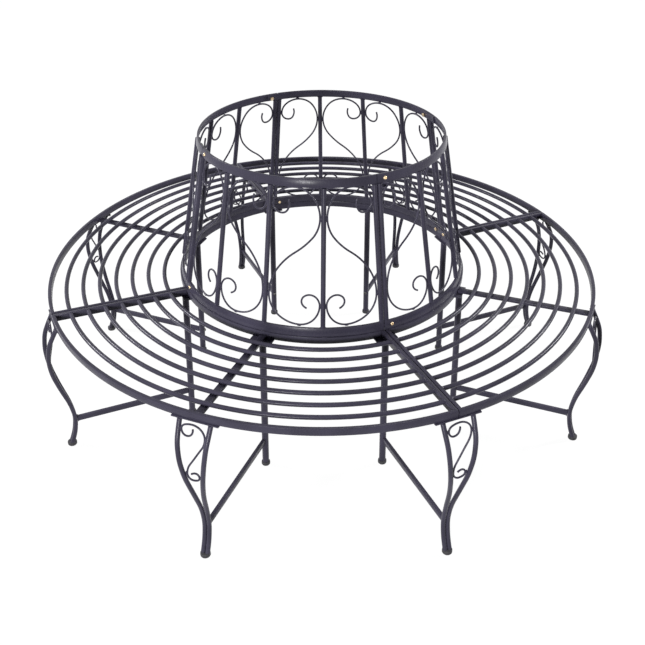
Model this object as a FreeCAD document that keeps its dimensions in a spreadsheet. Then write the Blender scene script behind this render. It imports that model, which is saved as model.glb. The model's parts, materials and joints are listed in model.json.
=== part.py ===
import FreeCAD, Part
import math
import os
import Sketcher

# Tree bench: a ring seat of round slats in four bolted quarters, with a ring backrest of
# uprights and scrolls leaning in over the tree, on eight legs of two bent tubes and a post.
# The origin is the middle of the ring on the floor, +Z is up and the front faces -Y.

Vector = FreeCAD.Vector
doc = FreeCAD.newDocument("tree_bench")
dims = doc.addObject("Spreadsheet::Sheet", "dims")

SIZES = {
    # seat ring
    "seat_radius": 800,
    "seat_height": 456,
    "seat_fall": 6,
    "rim_width": 10,
    "rim_depth": 20,
    "inner_rim_radius": 424,
    "seam_inset": 1,
    "weld_gap": 0.2,
    "slat_diameter": 12,
    "slat_count": 7,
    "slat_first_radius": 471,
    "slat_pitch": 46.4,
    "mid_bar_width": 20,
    # backrest
    "back_height": 860,
    "top_rail_radius": 342.7,
    "top_rail_depth": 22,
    "low_rail_radius": 420.5,
    "low_rail_depth": 24,
    "back_rail_thickness": 5.5,
    "upright_diameter": 13,
    "seam_upright_low_offset": 7.2,
    "seam_upright_top_offset": 6.8,
    "scroll_rod": 5,
    # legs
    "leg_tube": 12.5,
    "leg_pair_gap": 0.3,
    "leg_scroll_radius": 829,
    "leg_scroll_height": 280,
    "leg_scroll_slope": 0.14,
    "post_diameter": 19,
    "post_foot_radius": 442,
    "post_top_radius": 427,
    "foot_height": 12,
    "front_foot_radius": 813,
    "front_foot_diameter": 27,
    "post_foot_diameter": 25,
    "brace_width": 10,
    "brace_depth": 16,
    "brace_height": 82,
    "plate_thickness": 4,
    "front_plate_width": 10.5,
    "front_plate_length": 124,
    "front_plate_shift": 1.5,
    "post_plate_width": 30,
    "post_plate_length": 62,
    "post_plate_shift": 5,
    # fasteners
    "bolt_shank": 6,
    "bolt_head": 11,
    "bolt_head_height": 4,
    "bolt_bite": 12,
    "hole_clearance": 0.4,
    "front_bolt_spread": 56,
    "post_bolt_spread": 22,
    "lap_reach": 36,
    "lap_thickness": 3,
    "lap_depth": 20,
    "rail_bolt_offset": 22,
    "rail_bolt_shank": 6,
    "rail_bolt_head": 10.5,
    "rail_bolt_head_height": 3.3,
    "rail_nut_flats": 10,
    "rail_nut_height": 5,
    "rail_bolt_end": 1,
    "lap_screw_bite": 4,
}

for row, (alias, value) in enumerate(SIZES.items(), start=1):
    dims.set("A%d" % row, alias.replace("_", " "))
    dims.set("B%d" % row, str(value))
    dims.setAlias("B%d" % row, alias)
doc.recompute()


def size(alias):
    return float(dims.get(alias))


QUARTERS = {"right": -67.5, "back": 22.5, "left": 112.5, "front": 202.5}
QUARTER_ANGLE = 90.0
LEGS = {
    "front_right": -67.5, "right_front": -22.5, "right_back": 22.5, "back_right": 67.5,
    "back_left": 112.5, "left_back": 157.5, "left_front": 202.5, "front_left": 247.5,
}
BAY_ANGLE = QUARTER_ANGLE / 4
HALF_BAY = math.radians(BAY_ANGLE / 2)
UP = Vector(0, 0, 1)
ACROSS = Vector(0, 1, 0)
TO_OUTSIDE = FreeCAD.Rotation(ACROSS, 90)
TURNED_OVER = FreeCAD.Placement(Vector(0, 0, 0), FreeCAD.Rotation(Vector(1, 0, 0), 180))
BACK_RISE = "(dims.back_height - dims.seat_height + dims.seat_fall)"
BACK_SLOPE = "((dims.low_rail_radius - dims.top_rail_radius) / %s)" % BACK_RISE

rim_middle = size("seat_radius") - size("rim_width") / 2
inner_rim_middle = size("inner_rim_radius") - size("rim_width") / 2
seat_slope = size("seat_fall") / (rim_middle - inner_rim_middle)
seat_tilt = math.degrees(math.atan(seat_slope))
inner_rim_top = size("seat_height") - size("seat_fall")
low_rail_top = inner_rim_top + size("low_rail_depth")
top_rail_bottom = size("back_height") - size("top_rail_depth")
rail_middle = {
    "top": (top_rail_bottom + size("back_height")) / 2,
    "low": (inner_rim_top + low_rail_top) / 2,
}
front_plate_top = size("seat_height") - size("rim_depth")
post_plate_top = inner_rim_top - size("rim_depth")
tube_radius = size("leg_tube") / 2
rod_radius = size("scroll_rod") / 2
nodes = []


def seat_top(radius):
    """Height of the seat's upper surface, which falls slightly towards the tree."""
    return size("seat_height") - seat_slope * (rim_middle - radius)


def value(expression):
    return float(dims.evalExpression(expression))


back_slope = value(BACK_SLOPE)
back_lean = math.degrees(math.atan(back_slope))


def back_face(height):
    """Radius of the rails' outer faces, which lie on one cone leaning in over the tree."""
    return size("low_rail_radius") - back_slope * (height - inner_rim_top)


def turned(angle, offset=Vector(0, 0, 0), tilt=0.0):
    """Placement at a plan angle, after a lift or shift and an upward tilt outwards."""
    tilting = FreeCAD.Placement(offset, FreeCAD.Rotation(ACROSS, -tilt))
    return FreeCAD.Placement(Vector(0, 0, 0), FreeCAD.Rotation(UP, angle)).multiply(tilting)


def node(item, label):
    item.Label = label
    nodes.append(item)
    return item


def group(label, parts):
    item = doc.addObject("Part::Compound", label + "_group")
    item.Links = parts
    return item


def drilled(base, tools, label):
    """The base piece with its bolt holes cut."""
    holes = group(label + "_holes", tools)
    item = doc.addObject("Part::Cut", label + "_drilled")
    item.Base = base
    item.Tool = holes
    return item


def cylinder(name, diameter, height, placement):
    item = doc.addObject("Part::Cylinder", name)
    item.setExpression("Radius", diameter)
    item.setExpression("Height", height)
    item.Placement = placement
    return item


def origin_sketch(body, role):
    """A sketch on one of the body's own origin planes."""
    plane = [f for f in body.Origin.OriginFeatures if f.Role == role][0]
    sketch = body.newObject("Sketcher::SketchObject", body.Name + "_outline")
    sketch.AttachmentSupport = (plane, [""])
    sketch.MapMode = "FlatFace"
    return sketch


def bind(sketch, index, name, expression):
    sketch.renameConstraint(index, name)
    sketch.setExpression("Constraints." + name, expression)


def padded(body, sketch, depth):
    pad = body.newObject("PartDesign::Pad", body.Name + "_pad")
    pad.Profile = sketch
    pad.setExpression("Length", depth)
    sketch.Visibility = False
    return pad


def ring_quarter(name, outer, outer_inset, inner, inner_inset, depth):
    """A quarter of a flat ring: two arcs about the origin joined by two end faces.

    Each argument is an expression; an inset is an arc end's distance from the seam plane.
    """
    body = doc.addObject("PartDesign::Body", name)
    sketch = origin_sketch(body, "XY_Plane")
    ends = []
    for radius, inset in ((outer, outer_inset), (inner, inner_inset)):
        big = value(radius)
        off = value(inset)
        start = math.asin(off / big)
        circle = Part.Circle(Vector(0, 0, 0), UP, big)
        sketch.addGeometry(Part.ArcOfCircle(circle, start, math.pi / 2 - start))
        across = math.sqrt(big * big - off * off)
        ends.append((Vector(across, off, 0), Vector(off, across, 0), big, off))
    sketch.addGeometry(Part.LineSegment(ends[0][1], ends[1][1]))
    sketch.addGeometry(Part.LineSegment(ends[1][0], ends[0][0]))
    for arc in (0, 1):
        sketch.addConstraint(Sketcher.Constraint("Coincident", arc, 3, -1, 1))
    joins = ((0, 2, 2, 1), (1, 2, 2, 2), (1, 1, 3, 1), (0, 1, 3, 2))
    for one, one_end, other, other_end in joins:
        sketch.addConstraint(Sketcher.Constraint("Coincident", one, one_end, other, other_end))
    for arc, side, radius, inset in ((0, "outer", outer, outer_inset), (1, "inner", inner, inner_inset)):
        big, off = ends[arc][2], ends[arc][3]
        index = sketch.addConstraint(Sketcher.Constraint("Radius", arc, big))
        bind(sketch, index, side + "_radius", radius)
        index = sketch.addConstraint(Sketcher.Constraint("DistanceY", -1, 1, arc, 1, off))
        bind(sketch, index, side + "_start", inset)
        index = sketch.addConstraint(Sketcher.Constraint("DistanceX", -1, 1, arc, 2, off))
        bind(sketch, index, side + "_end", inset)
    padded(body, sketch, depth)
    return body


def outlined(sketch, corners):
    """A closed outline through corners, each given as a pair of expressions."""
    points = [Vector(value(across), value(along), 0) for across, along in corners]
    count = len(points)
    for i in range(count):
        sketch.addGeometry(Part.LineSegment(points[i], points[(i + 1) % count]))
    for i in range(count):
        sketch.addConstraint(Sketcher.Constraint("Coincident", i, 2, (i + 1) % count, 1))
    for i, (across, along) in enumerate(corners):
        index = sketch.addConstraint(Sketcher.Constraint("DistanceX", -1, 1, i, 1, points[i].x))
        bind(sketch, index, "across_%d" % i, across)
        index = sketch.addConstraint(Sketcher.Constraint("DistanceY", -1, 1, i, 1, points[i].y))
        bind(sketch, index, "along_%d" % i, along)


def flat_bar(name, corners, depth):
    """A flat bar padded up from its plan corners."""
    body = doc.addObject("PartDesign::Body", name)
    sketch = origin_sketch(body, "XY_Plane")
    outlined(sketch, corners)
    padded(body, sketch, depth)
    return body


def leaning_band(name, outer, thickness, bottom, depth, sweep):
    """A band that leans in with the backrest, swept evenly to both sides of the XZ plane.

    Each argument is an expression; outer is the outer radius at the band's bottom.
    """
    body = doc.addObject("PartDesign::Body", name)
    sketch = origin_sketch(body, "XZ_Plane")
    outer_top = "%s - %s * (%s)" % (outer, BACK_SLOPE, depth)
    top = "%s + %s" % (bottom, depth)
    outlined(sketch, [
        (outer, bottom), (outer_top, top),
        ("%s - %s" % (outer_top, thickness), top), ("%s - %s" % (outer, thickness), bottom),
    ])
    turning = body.newObject("PartDesign::Revolution", name + "_turning")
    turning.Profile = sketch
    turning.ReferenceAxis = (sketch, ["V_Axis"])
    turning.Midplane = True
    turning.setExpression("Angle", sweep)
    sketch.Visibility = False
    return body


def arc_between(start, heading, end):
    """The edge that leaves start along heading and ends at end, all in one plane."""
    chord = end - start
    along = Vector(chord)
    along.normalize()
    side = heading - along * heading.dot(along)
    if side.Length < 1e-4:
        return Part.LineSegment(start, end).toShape()
    turn = heading.getAngle(chord)
    side.normalize()
    crest = (start + end) * 0.5 + side * (chord.Length / 2 * math.tan(turn / 2))
    return Part.Arc(start, crest, end).toShape()


def biarc(start, heading, end, end_heading):
    """Two arcs that join two points and keep the given heading at each."""
    span = end - start
    total = heading + end_heading
    closing = 2 * (1 - heading.dot(end_heading))
    if closing < 1e-6:
        reach = span.dot(span) / (4 * span.dot(end_heading))
    else:
        lean = span.dot(total)
        reach = (math.sqrt(lean * lean + closing * span.dot(span)) - lean) / closing
    middle = (start + end + (heading - end_heading) * reach) * 0.5
    return [arc_between(start, heading, middle), arc_between(end, end_heading * -1, middle)]


def flowing_wire(stations):
    """A smooth wire of arcs through stations of (across, up, heading in degrees)."""
    edges = []
    places = [Vector(across, up, 0) for across, up, heading in stations]
    ways = [Vector(math.cos(math.radians(a)), math.sin(math.radians(a)), 0) for x, y, a in stations]
    for i in range(len(places) - 1):
        edges += biarc(places[i], ways[i], places[i + 1], ways[i + 1])
    return Part.Wire(edges)


def rounded_wire(points):
    """Straight runs between points, with each corner rounded by a tangent arc."""
    edges = []
    here = points[0]
    for i in range(1, len(points) - 1):
        back = points[i - 1] - points[i]
        on = points[i + 1] - points[i]
        setback = 0.45 * min(back.Length, on.Length)
        back.normalize()
        on.normalize()
        enter = points[i] + back * setback
        leave = points[i] + on * setback
        edges.append(Part.LineSegment(here, enter).toShape())
        edges.append(arc_between(enter, back * -1, leave))
        here = leave
    edges.append(Part.LineSegment(here, points[-1]).toShape())
    return Part.Wire(edges)


def rod_along(wire, radius):
    """A round rod whose middle follows the wire."""
    first = wire.OrderedEdges[0]
    place = first.valueAt(first.FirstParameter)
    way = first.tangentAt(first.FirstParameter)
    profile = Part.Wire(Part.makeCircle(radius, place, way))
    return wire.makePipeShell([profile], True, False)


def leaning_plane(radius, height, lean):
    """Placement of a shape drawn as (across, up) that leans in from a radius and height."""
    slope_up = Vector(-math.sin(lean), 0, math.cos(lean))
    axes = FreeCAD.Rotation(ACROSS, slope_up, ACROSS.cross(slope_up), "XYZ")
    return FreeCAD.Placement(Vector(radius, 0, height), axes)


def fixed_shape(label, shape):
    item = doc.addObject("Part::Feature", label)
    item.Shape = shape
    return node(item, label)


def at_leg(radius, across, height, angle):
    """A point given by radius, tangential offset and height at a leg's plan angle."""
    turn = math.radians(angle)
    out = Vector(math.cos(turn), math.sin(turn), 0)
    side = Vector(-math.sin(turn), math.cos(turn), 0)
    return out * radius + side * across + UP * height


# Seat rims, slats and bars of one quarter

BOLT_HOLE = "(dims.bolt_shank + dims.hole_clearance) / 2"
RAIL_BOLT_HOLE = "(dims.rail_bolt_shank + dims.hole_clearance) / 2"
RIM_JOINTS = {
    "front": {"rim_radius": rim_middle, "top": front_plate_top},
    "post": {"rim_radius": inner_rim_middle, "top": post_plate_top},
}


def joint_turn(kind):
    """Plan angle between a leg's middle and either of its bolts into the rim."""
    return math.degrees(math.asin(size(kind + "_bolt_spread") / RIM_JOINTS[kind]["rim_radius"]))


def leg_holes(label, angle, kind):
    """Blind holes in a rim's underside at the seam legs and the middle leg."""
    joint = RIM_JOINTS[kind]
    holes = []
    for i, (leg, way) in enumerate(((0, 1), (45, -1), (45, 1), (90, -1))):
        place = turned(angle + leg + way * joint_turn(kind), Vector(joint["rim_radius"], 0, joint["top"]))
        depth = "dims.bolt_bite + dims.hole_clearance"
        holes.append(cylinder("%s_hole_%d" % (label, i), BOLT_HOLE, depth, place))
    return holes


def seat_rims(quarter, angle):
    inset = "dims.seam_inset"
    mitre = "dims.seam_inset + dims.rim_width"
    outer = ring_quarter("outer_rim_" + quarter, "dims.seat_radius", inset,
                         "dims.seat_radius - dims.rim_width", mitre, "dims.rim_depth")
    outer.Placement = turned(angle, Vector(0, 0, size("seat_height") - size("rim_depth")))
    label = "seat_outer_rim_" + quarter
    node(drilled(outer, leg_holes(label, angle, "front"), label), label)
    inner = ring_quarter("inner_rim_" + quarter, "dims.inner_rim_radius", mitre,
                         "dims.inner_rim_radius - dims.rim_width", inset, "dims.rim_depth")
    inner.Placement = turned(angle, Vector(0, 0, inner_rim_top - size("rim_depth")))
    label = "seat_inner_rim_" + quarter
    node(drilled(inner, leg_holes(label, angle, "post"), label), label)


def seat_slats(quarter, angle):
    inset = size("seam_inset") + size("rim_width") + size("weld_gap")
    slats = []
    for i in range(int(size("slat_count"))):
        radius = size("slat_first_radius") + i * size("slat_pitch")
        start = math.degrees(math.asin(inset / radius))
        slat = doc.addObject("Part::Torus", "slat_%s_%d" % (quarter, i))
        slat.setExpression("Radius1", "dims.slat_first_radius + %d * dims.slat_pitch" % i)
        slat.setExpression("Radius2", "dims.slat_diameter / 2")
        slat.Angle3 = QUARTER_ANGLE - 2 * start
        height = seat_top(radius) - size("slat_diameter") / 2
        slat.Placement = turned(angle + start, Vector(0, 0, height))
        slats.append(slat)
    label = "seat_slats_" + quarter
    node(group(label, slats), label)


def seam_bar(name, side):
    """An end bar's plan, mitred to both rims; side is 1 or -1 from its seam plane."""
    near = "%d * dims.seam_inset" % side
    far = "%d * (dims.seam_inset + dims.rim_width)" % side

    def reach(radius, inset, gaps):
        return "sqrt((%s)^2 - (%s)^2) + %d * dims.weld_gap" % (radius, inset, gaps)

    corners = [
        (reach("dims.inner_rim_radius - dims.rim_width", near, 3), near),
        (reach("dims.seat_radius", near, -2), near),
        (reach("dims.seat_radius - dims.rim_width", far, -2), far),
        (reach("dims.inner_rim_radius", far, 3), far),
    ]
    return flat_bar(name, corners, "dims.rim_depth - dims.weld_gap")


def seat_bars(quarter, angle):
    lift = Vector(0, 0, seat_top(0) - size("rim_depth") + size("weld_gap"))
    first = seam_bar("first_bar_" + quarter, 1)
    first.Placement = turned(angle, lift, seat_tilt)
    last = seam_bar("last_bar_" + quarter, -1)
    last.Placement = turned(angle + QUARTER_ANGLE, lift, seat_tilt)
    middle = doc.addObject("Part::Box", "middle_bar_" + quarter)
    middle.setExpression(
        "Length", "dims.seat_radius - dims.rim_width - dims.inner_rim_radius - 4 * dims.weld_gap")
    middle.setExpression("Width", "dims.mid_bar_width")
    middle.setExpression("Height", "dims.rim_depth - dims.slat_diameter - dims.weld_gap")
    start = size("inner_rim_radius") + 2 * size("weld_gap")
    corner = Vector(start, -size("mid_bar_width") / 2, seat_top(start) - size("rim_depth"))
    middle.Placement = turned(angle + QUARTER_ANGLE / 2, corner, seat_tilt)
    label = "seat_cross_bars_" + quarter
    node(group(label, [first, last, middle]), label)


# Backrest rails, uprights and scrolls of one quarter

RAILS = {
    "top": {
        "outer": "dims.top_rail_radius + %s * dims.top_rail_depth" % BACK_SLOPE,
        "bottom": "dims.back_height - dims.top_rail_depth",
        "depth": "dims.top_rail_depth",
        "fastener_sides": (1,),
    },
    "low": {
        "outer": "dims.low_rail_radius",
        "bottom": "dims.seat_height - dims.seat_fall",
        "depth": "dims.low_rail_depth",
        "fastener_sides": (1, -1),
    },
}


def rail_bolt_place(kind, seam, side, start):
    """Axis of a rail fastener beside a seam, square to the leaning rail.

    Side is 1 for a bolt and -1 for a screw from inside; start is measured out from the outer face.
    """
    radius = back_face(rail_middle[kind])
    turn = seam + side * math.degrees(math.asin(size("rail_bolt_offset") / radius))
    on_face = turned(turn, Vector(radius, 0, rail_middle[kind]), back_lean)
    return on_face.multiply(FreeCAD.Placement(Vector(start, 0, 0), TO_OUTSIDE))


def rail_hole(name, kind, seam, side):
    """A bolt's hole goes right through, a lap screw's stops inside the rail."""
    start = -3 * size("back_rail_thickness")
    depth = "%g * dims.back_rail_thickness" % (4 if side == 1 else 2.8)
    place = rail_bolt_place(kind, seam, side, start)
    return cylinder("%s_hole_%d" % (name, side), RAIL_BOLT_HOLE, depth, place)


def back_rail(kind, quarter, angle):
    rail = RAILS[kind]
    sweep = "90 deg - 2 * asin(dims.seam_inset / (%s))" % rail["outer"]
    band = leaning_band("%s_rail_%s" % (kind, quarter), rail["outer"], "dims.back_rail_thickness",
                        rail["bottom"], rail["depth"], sweep)
    band.Placement = turned(angle + QUARTER_ANGLE / 2)
    label = "back_%s_rail_%s" % (kind, quarter)
    holes = [rail_hole(label, kind, angle if side == 1 else angle + QUARTER_ANGLE, side)
             for side in rail["fastener_sides"]]
    node(drilled(band, holes, label), label)


upright_low_radius = back_face(low_rail_top) - size("back_rail_thickness") / 2
upright_top_radius = back_face(top_rail_bottom) - size("back_rail_thickness") / 2
upright_fall = upright_low_radius - upright_top_radius
upright_rise = top_rail_bottom - low_rail_top


def upright_ends(position):
    """Foot and top of upright 0 to 4 of a quarter; the outer two stand just off the seams.

    The feet are evenly spaced between those two, and the other tops are whole bays from the seams.
    """
    start = math.degrees(math.asin(size("seam_upright_low_offset") / upright_low_radius))
    foot = at_leg(upright_low_radius, 0, low_rail_top, start + position * (QUARTER_ANGLE - 2 * start) / 4)
    shift = {0: 1, 4: -1}.get(position, 0) * size("seam_upright_top_offset")
    reach = math.sqrt(upright_top_radius ** 2 - shift ** 2)
    head = at_leg(reach, shift, top_rail_bottom, BAY_ANGLE * position)
    return foot, head


def back_uprights(quarter, angle):
    bars = []
    overrun = size("upright_diameter")
    for position in range(5):
        foot, head = upright_ends(position)
        way = head - foot
        stretch = way.Length + 2 * overrun
        way.normalize()
        lean = FreeCAD.Placement(foot - way * overrun, FreeCAD.Rotation(UP, way))
        bar = cylinder("upright_%s_%d" % (quarter, position), "dims.upright_diameter / 2", str(stretch),
                       turned(angle).multiply(lean))
        bars.append(bar)
    label = "back_uprights_" + quarter
    low_rail_end = "(%s + %s)" % (RAILS["low"]["bottom"], RAILS["low"]["depth"])
    storey = cylinder("storey_" + quarter, "dims.low_rail_radius + dims.upright_diameter",
                      "%s - %s" % (RAILS["top"]["bottom"], low_rail_end),
                      turned(0, Vector(0, 0, low_rail_top)))
    trimmed = doc.addObject("Part::Common", label + "_trimmed")
    trimmed.Base = group(label, bars)
    trimmed.Tool = storey
    node(trimmed, label)


bay_lean = math.atan(upright_fall * math.cos(HALF_BAY) / upright_rise)


def bay_scroll(bay):
    """One S scroll, flat in its bay's plane, with across = 0 at the bay's middle.

    Its large lobe leans on the upright at the left, and its curls nearly reach the right one.
    """
    way = at_leg(0, 1, 0, BAY_ANGLE * (bay + 0.5))
    uprights = {}
    for side, position in ((-1, bay), (1, bay + 1)):
        uprights[side] = [way.dot(end) for end in upright_ends(position)]

    def clear(height, side):
        foot, head = uprights[side]
        middle = foot + (head - foot) * height / upright_rise
        return middle - side * (size("upright_diameter") / 2 + rod_radius + size("weld_gap"))

    def station(across, height, heading):
        shift = (clear(height, 1) + clear(height, -1)) / 2
        spread = (clear(height, 1) - clear(height, -1)) / 2
        up = height / math.cos(bay_lean)
        return shift + across * spread, up, heading

    low = rod_radius + size("weld_gap")
    high = upright_rise - low
    stations = [
        station(0.34, 329, 262), station(0.31, 318, 270), station(0.60, 295, 0), station(1, 318, 90),
        station(0.12, high, 180), station(-1, 286, 270), station(0, 196, 325), station(1, 80, 270),
        station(-0.22, low, 180), station(-1, 58, 90), station(-0.62, 86, 0), station(-0.29, 67, 270),
        station(-0.5, 49, 200),
    ]
    return rod_along(flowing_wire(stations), rod_radius)


bay_scrolls = {bay: bay_scroll(bay) for bay in (1, 3)}


def back_scrolls(quarter, angle):
    """Four scrolls in mirrored pairs, hearts about the second and fourth uprights."""
    rods = []
    stand = leaning_plane(upright_low_radius * math.cos(HALF_BAY), low_rail_top, bay_lean)
    for bay in range(4):
        if bay in bay_scrolls:
            rod = bay_scrolls[bay]
        else:
            rod = bay_scrolls[3 - bay].mirror(Vector(0, 0, 0), Vector(1, 0, 0))
        place = turned(angle + BAY_ANGLE * (bay + 0.5)).multiply(stand)
        rods.append(rod.transformed(place.toMatrix()))
    fixed_shape("back_scrolls_" + quarter, Part.makeCompound(rods))


# Legs

# Corners of a leg tube's middle line as (radius, spread beyond touching its twin, height)
TUBE_ROUTE = [
    (817, 0, 0), (799, 0, 44), (790, 0, 94), (797.5, 0.8, 150), (816.5, 7.4, 214),
    (831, 18.2, 276), (834, 26.4, 330), (825.5, 31.4, 378), (806, 33.9, 415), (788, 34.8, 446),
]
tube_slimmest = min(radius for radius, spread, height in TUBE_ROUTE)


def leg_tubes(name, angle):
    """Two tubes that stand side by side and bow out and apart to the rim above."""
    close = tube_radius + size("leg_pair_gap") / 2
    beyond = 2 * size("seat_radius")
    rise = front_plate_top - size("plate_thickness") - size("foot_height")
    storey = Part.makeBox(2 * beyond, 2 * beyond, rise, Vector(-beyond, -beyond, size("foot_height")))
    tubes = []
    for side in (-1, 1):
        points = [at_leg(radius, side * (close + spread), height, angle)
                  for radius, spread, height in TUBE_ROUTE]
        tube = rod_along(rounded_wire(points), tube_radius)
        tubes.append(tube.common(storey).Solids[0])
    fixed_shape("leg_tubes_" + name, Part.makeCompound(tubes))


def leg_scrolls():
    """A small S scroll between the two tubes of each leg."""
    stations = [
        (-0.5, 416, 275), (-16.6, 394.8, 180), (-30.6, 411, 90), (-2, 428.8, 0), (30.4, 398, 270),
        (5.5, 342, 240), (-17.4, 290.5, 270), (-2, 274.6, 0), (15.4, 285.5, 90), (5.5, 295.5, 180),
        (-6, 291, 215),
    ]
    low = size("leg_scroll_height")
    lean = math.atan(size("leg_scroll_slope"))
    laid = [(across, (up - low) / math.cos(lean), heading) for across, up, heading in stations]
    rod = rod_along(flowing_wire(laid), rod_radius)
    stand = leaning_plane(size("leg_scroll_radius"), low, lean)
    rods = [rod.transformed(turned(angle).multiply(stand).toMatrix()) for angle in LEGS.values()]
    fixed_shape("leg_scrolls", Part.makeCompound(rods))


post_rise = post_plate_top - size("plate_thickness") - size("foot_height")
post_lean = math.degrees(math.atan((size("post_foot_radius") - size("post_top_radius")) / post_rise))


def post_radius(height):
    """Distance of a post's middle from the ring's middle at a height."""
    share = (height - size("foot_height")) / post_rise
    return size("post_foot_radius") - share * (size("post_foot_radius") - size("post_top_radius"))


brace_middle = size("brace_height") + size("brace_depth") / 2
brace_start = post_radius(brace_middle) + size("post_diameter") / 2 + size("weld_gap")
brace_end = tube_slimmest - tube_radius - size("weld_gap")


def leg_post(name, angle):
    overrun = size("post_diameter")
    post = cylinder("post_" + name, "dims.post_diameter / 2", "dims.seat_height",
                    turned(angle, Vector(post_radius(0), 0, 0), post_lean))
    storey = cylinder("post_storey_" + name, "dims.post_diameter * 2", str(post_rise),
                      turned(angle, Vector(size("post_foot_radius") - overrun, 0, size("foot_height"))))
    trimmed = doc.addObject("Part::Common", "post_trimmed_" + name)
    trimmed.Base = post
    trimmed.Tool = storey
    hole = cylinder("post_hole_" + name, BOLT_HOLE, "2 * dims.post_diameter",
                    brace_bolt_place(angle, -size("post_diameter")))
    label = "leg_post_" + name
    node(drilled(trimmed, [hole], label), label)


def brace_bolt_place(angle, start):
    """Axis of the bolt through a post into its brace; start is measured from the post's middle."""
    place = turned(angle, Vector(post_radius(brace_middle) + start, 0, brace_middle))
    return place.multiply(FreeCAD.Placement(Vector(0, 0, 0), TO_OUTSIDE))


def leg_braces():
    braces = []
    for name, angle in LEGS.items():
        bar = doc.addObject("Part::Box", "brace_" + name)
        bar.Length = brace_end - brace_start
        bar.setExpression("Width", "dims.brace_width")
        bar.setExpression("Height", "dims.brace_depth")
        bar.Placement = turned(angle, Vector(brace_start, -size("brace_width") / 2, size("brace_height")))
        hole = cylinder("brace_hole_" + name, BOLT_HOLE, "dims.bolt_bite + dims.post_diameter",
                        brace_bolt_place(angle, 0))
        braces.append(drilled(bar, [hole], "brace_" + name))
    node(group("leg_braces", braces), "leg_braces")


def feet(label, diameter, radius):
    """Round caps with rounded rims under the eight tube pairs or posts."""
    caps = []
    for name, angle in LEGS.items():
        cap = cylinder("%s_%s" % (label, name), diameter + " / 2", "dims.foot_height",
                       turned(angle, Vector(radius, 0, 0)))
        cap.recompute()
        rounded = doc.addObject("Part::Fillet", "%s_%s_rounded" % (label, name))
        rounded.Base = cap
        edge = size("foot_height") / 5
        rims = [i + 1 for i, e in enumerate(cap.Shape.Edges) if e.isClosed()]
        rounded.Edges = [(i, edge, edge) for i in rims]
        caps.append(rounded)
    node(group(label, caps), label)


def top_plates():
    """Flat plates on the tubes and posts, under the rims and across the seams."""
    for kind, joint in RIM_JOINTS.items():
        label = "leg_%s_plates" % kind
        length, width = size(kind + "_plate_length"), size(kind + "_plate_width")
        start = joint["rim_radius"] + size(kind + "_plate_shift") - width / 2
        bottom = joint["top"] - size("plate_thickness")
        plates = []
        for name, angle in LEGS.items():
            plate = doc.addObject("Part::Box", "%s_%s" % (label, name))
            plate.setExpression("Length", "dims.%s_plate_width" % kind)
            plate.setExpression("Width", "dims.%s_plate_length" % kind)
            plate.setExpression("Height", "dims.plate_thickness")
            plate.Placement = turned(angle, Vector(start, -length / 2, bottom))
            holes = []
            for way in (-1, 1):
                place = turned(angle + way * joint_turn(kind),
                               Vector(joint["rim_radius"], 0, bottom - size("plate_thickness")))
                hole_name = "%s_%s_hole_%s" % (label, name, "first" if way < 0 else "last")
                holes.append(cylinder(hole_name, BOLT_HOLE, "3 * dims.plate_thickness", place))
            plates.append(drilled(plate, holes, "%s_%s" % (label, name)))
        node(group(label, plates), label)


# Fasteners

def dome_bolt(head, head_height, shank, length):
    """A dome-headed bolt whose head's flat is at zero and whose shank goes up +Z."""
    dome = (head * head / 4 + head_height * head_height) / (2 * head_height)
    ball = Part.makeSphere(dome, Vector(0, 0, dome - head_height))
    below = Part.makeBox(4 * dome, 4 * dome, 4 * dome, Vector(-2 * dome, -2 * dome, -4 * dome))
    stem = Part.makeCylinder(shank / 2, length)
    return ball.common(below).fuse(stem).removeSplitter().Solids[0]


def leg_bolts():
    """Bolts up through the plates into the rims, two to a plate."""
    bolt = dome_bolt(size("bolt_head"), size("bolt_head_height"), size("bolt_shank"),
                     size("plate_thickness") + size("bolt_bite"))
    bolts = []
    for angle in LEGS.values():
        for kind, joint in RIM_JOINTS.items():
            seat = Vector(joint["rim_radius"], 0, joint["top"] - size("plate_thickness"))
            for way in (-1, 1):
                bolts.append(bolt.transformed(turned(angle + way * joint_turn(kind), seat).toMatrix()))
    fixed_shape("leg_plate_bolts", Part.makeCompound(bolts))


def brace_bolts():
    """Bolts through each post into the end of its brace, heads towards the tree."""
    face = -size("post_diameter") / 2 - size("weld_gap")
    bolt = dome_bolt(size("bolt_head"), size("bolt_head_height"), size("bolt_shank"),
                     size("post_diameter") + size("bolt_bite"))
    bolts = [bolt.transformed(brace_bolt_place(angle, face).toMatrix()) for angle in LEGS.values()]
    fixed_shape("leg_brace_bolts", Part.makeCompound(bolts))


def back_lap_plates():
    """Curved plates inside the rails, across the seams; the top ones are welded at one end."""
    plates = []
    for kind, rail in RAILS.items():
        margin = "(%s - dims.lap_depth) / 2" % rail["depth"]
        rail_face = "%s - %s * %s" % (rail["outer"], BACK_SLOPE, margin)
        outer = rail_face + " - dims.back_rail_thickness - dims.weld_gap"
        for quarter, angle in QUARTERS.items():
            name = "lap_%s_%s" % (kind, quarter)
            band = leaning_band(name, outer, "dims.lap_thickness", "%s + %s" % (rail["bottom"], margin),
                                "dims.lap_depth", "2 * dims.lap_reach / (%s) * 1 rad" % outer)
            band.Placement = turned(angle)
            holes = [rail_hole(name, kind, angle, side) for side in rail["fastener_sides"]]
            plates.append(drilled(band, holes, name))
    node(group("back_lap_plates", plates), "back_lap_plates")


def hex_nut(flats, bore, height):
    corner = flats / math.sqrt(3)
    spots = [math.radians(60 * i) for i in range(7)]
    outline = Part.makePolygon([Vector(corner * math.cos(a), corner * math.sin(a), 0) for a in spots])
    nut = Part.Face(outline).extrude(Vector(0, 0, height))
    return nut.cut(Part.makeCylinder(bore / 2, height)).Solids[0]


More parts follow.
